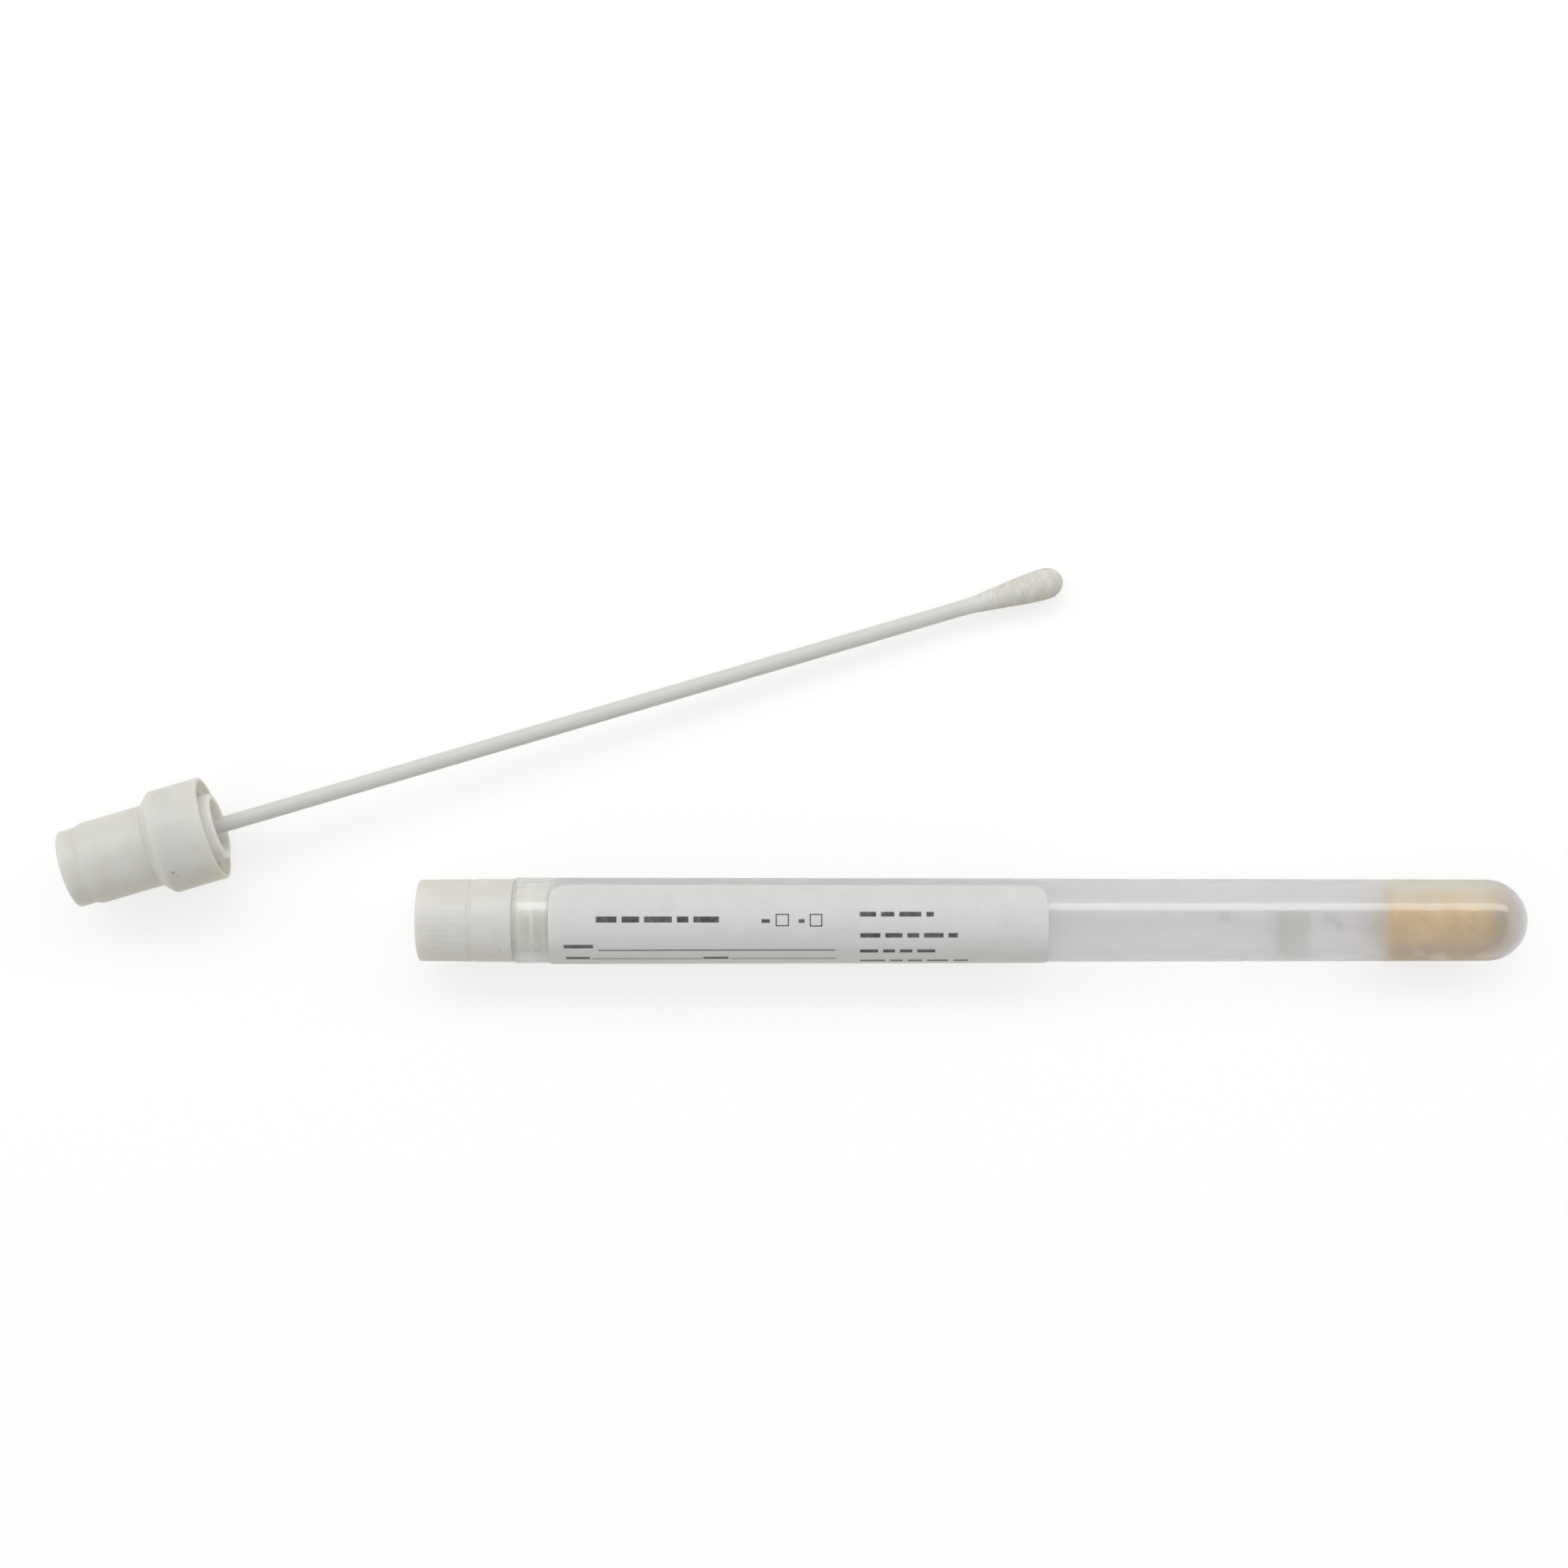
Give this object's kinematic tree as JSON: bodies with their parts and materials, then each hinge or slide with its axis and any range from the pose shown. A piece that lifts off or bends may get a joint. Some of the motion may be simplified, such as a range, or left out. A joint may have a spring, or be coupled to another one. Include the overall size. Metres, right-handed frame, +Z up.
{
  "type": "specimen swab tube",
  "caption": "Round-bottomed transport tube with stopper, wrap-round label and foam plug, lying beside the capped swab on its shaft that fits into it.",
  "frame": {"origin": "centre of the bounding box in plan, on the surface the tube and the swab lie on", "axes": "+X along the tube from its mouth to its round end, +Y towards the swab beside it, +Z up"},
  "size_m": [0.223, 0.0608, 0.0162],
  "materials": {
    "tube_polypropylene": "translucent milky moulded polypropylene, glossy",
    "stopper_polyethylene": "white moulded polyethylene, satin",
    "handle_polyethylene": "white moulded polyethylene, satin",
    "shaft_plastic": "white extruded plastic, satin",
    "label_paper": "white coated label paper with grey rules and boxes",
    "foam": "moist tan open-cell foam",
    "tip_fibre": "wound white fibre"
  },
  "bodies": {
    "tube_body": {"tube": "tube_polypropylene", "label": "label_paper", "foam_plug": "foam", "swab_handle": "handle_polyethylene", "swab_shaft": "shaft_plastic", "swab_tip": "tip_fibre"},
    "stopper_body": {"stopper": "stopper_polyethylene"}
  },
  "joints": [
    {"name": "stopper_pull", "type": "slide", "parent": "tube_body", "child": "stopper_body", "axis": [-1, 0, 0.002], "range_m": [0, 0.02]}
  ]
}
